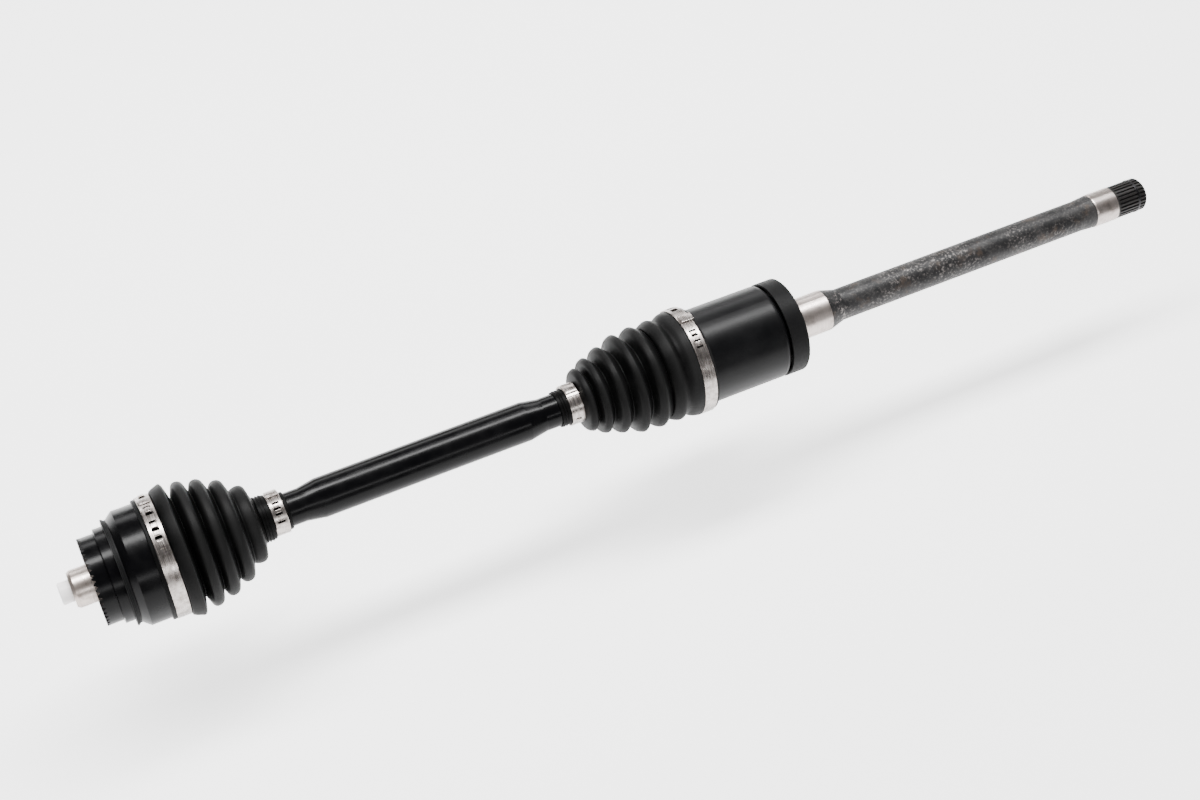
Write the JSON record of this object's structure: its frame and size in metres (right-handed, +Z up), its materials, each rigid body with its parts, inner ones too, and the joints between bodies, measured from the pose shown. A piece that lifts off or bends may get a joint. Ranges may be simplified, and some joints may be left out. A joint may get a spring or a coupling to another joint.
{
  "type": "cv axle",
  "caption": "Front drive axle: ball-type fixed joint, hollow shaft and plunging tripod joint with a long splined stub, booted at both ends.",
  "frame": {"origin": "on the axle's centre line, at the middle of the shaft's straight tube", "axes": "+X along the axle towards the splined stub; +Z up, in the plane of the first trunnion; +Y completes the set"},
  "size_m": [0.8952, 0.098, 0.098],
  "materials": {
    "painted_steel": "gloss black paint on steel",
    "bearing_steel": "ground and hardened steel",
    "shield_steel": "matte black pressed steel",
    "spring_steel": "dark spring steel",
    "clamp_steel": "bright stainless band",
    "boot_elastomer": "satin black moulded elastomer",
    "plug_plastic": "milky moulded plastic"
  },
  "bodies": {
    "shaft": {"shaft": "painted_steel", "inner_race": "bearing_steel", "outer_circlip": "spring_steel", "spider_circlip": "spring_steel", "spider": "bearing_steel", "roller_clip_1": "spring_steel", "roller_clip_2": "spring_steel", "roller_clip_3": "spring_steel", "outer_boot": "boot_elastomer", "outer_boot_small_clamp": "clamp_steel", "inner_boot_small_clamp": "clamp_steel"},
    "outer_joint": {"outer_race": "painted_steel", "dust_ring": "shield_steel", "thread_plug": "plug_plastic", "outer_boot_large_clamp": "clamp_steel"},
    "cage": {"ball_cage": "bearing_steel", "ball_1": "bearing_steel", "ball_2": "bearing_steel", "ball_3": "bearing_steel", "ball_4": "bearing_steel", "ball_5": "bearing_steel", "ball_6": "bearing_steel"},
    "boot_link": {"inner_boot": "boot_elastomer"},
    "housing": {"tripod_housing": "painted_steel", "shield_ring": "shield_steel", "spline_snap_ring": "spring_steel", "inner_boot_large_clamp": "clamp_steel"},
    "roller_1": {"roller_1": "bearing_steel"},
    "needles_1": {"needle_set_1": "bearing_steel"},
    "roller_2": {"roller_2": "bearing_steel"},
    "needles_2": {"needle_set_2": "bearing_steel"},
    "roller_3": {"roller_3": "bearing_steel"},
    "needles_3": {"needle_set_3": "bearing_steel"}
  },
  "joints": [
    {"name": "outer_tilt", "type": "hinge", "parent": "shaft", "child": "outer_joint", "pos_m": [-0.2085, 0, 0], "axis": [0, 1, 0], "range_deg": [-45, 45], "deforming": ["outer_boot"]},
    {"name": "cage_tilt", "type": "hinge", "parent": "shaft", "child": "cage", "pos_m": [-0.2085, 0, 0], "axis": [0, 1, 0], "range_deg": [-22.5, 22.5]},
    {"name": "inner_tilt", "type": "hinge", "parent": "shaft", "child": "boot_link", "pos_m": [0.2472, 0, 0], "axis": [0, 1, 0], "range_deg": [-16, 16], "deforming": ["inner_boot"]},
    {"name": "plunge", "type": "slide", "parent": "boot_link", "child": "housing", "axis": [1, 0, 0], "range_m": [-0.012, 0.012]},
    {"name": "roller_1_spin", "type": "hinge", "parent": "shaft", "child": "roller_1", "pos_m": [0.2472, 0, 0], "axis": [0, 0, 1], "continuous": true},
    {"name": "needles_1_orbit", "type": "hinge", "parent": "shaft", "child": "needles_1", "pos_m": [0.2472, 0, 0], "axis": [0, 0, 1], "continuous": true},
    {"name": "roller_2_spin", "type": "hinge", "parent": "shaft", "child": "roller_2", "pos_m": [0.2472, 0, 0], "axis": [0, -0.866, -0.5], "continuous": true},
    {"name": "needles_2_orbit", "type": "hinge", "parent": "shaft", "child": "needles_2", "pos_m": [0.2472, 0, 0], "axis": [0, -0.866, -0.5], "continuous": true},
    {"name": "roller_3_spin", "type": "hinge", "parent": "shaft", "child": "roller_3", "pos_m": [0.2472, 0, 0], "axis": [0, 0.866, -0.5], "continuous": true},
    {"name": "needles_3_orbit", "type": "hinge", "parent": "shaft", "child": "needles_3", "pos_m": [0.2472, 0, 0], "axis": [0, 0.866, -0.5], "continuous": true}
  ],
  "couplings": [
    {"joint": "cage_tilt", "follows": "outer_tilt", "ratio": 0.5},
    {"joint": "needles_1_orbit", "follows": "roller_1_spin", "ratio": 0.5614},
    {"joint": "needles_2_orbit", "follows": "roller_2_spin", "ratio": 0.5614},
    {"joint": "needles_3_orbit", "follows": "roller_3_spin", "ratio": 0.5614}
  ]
}
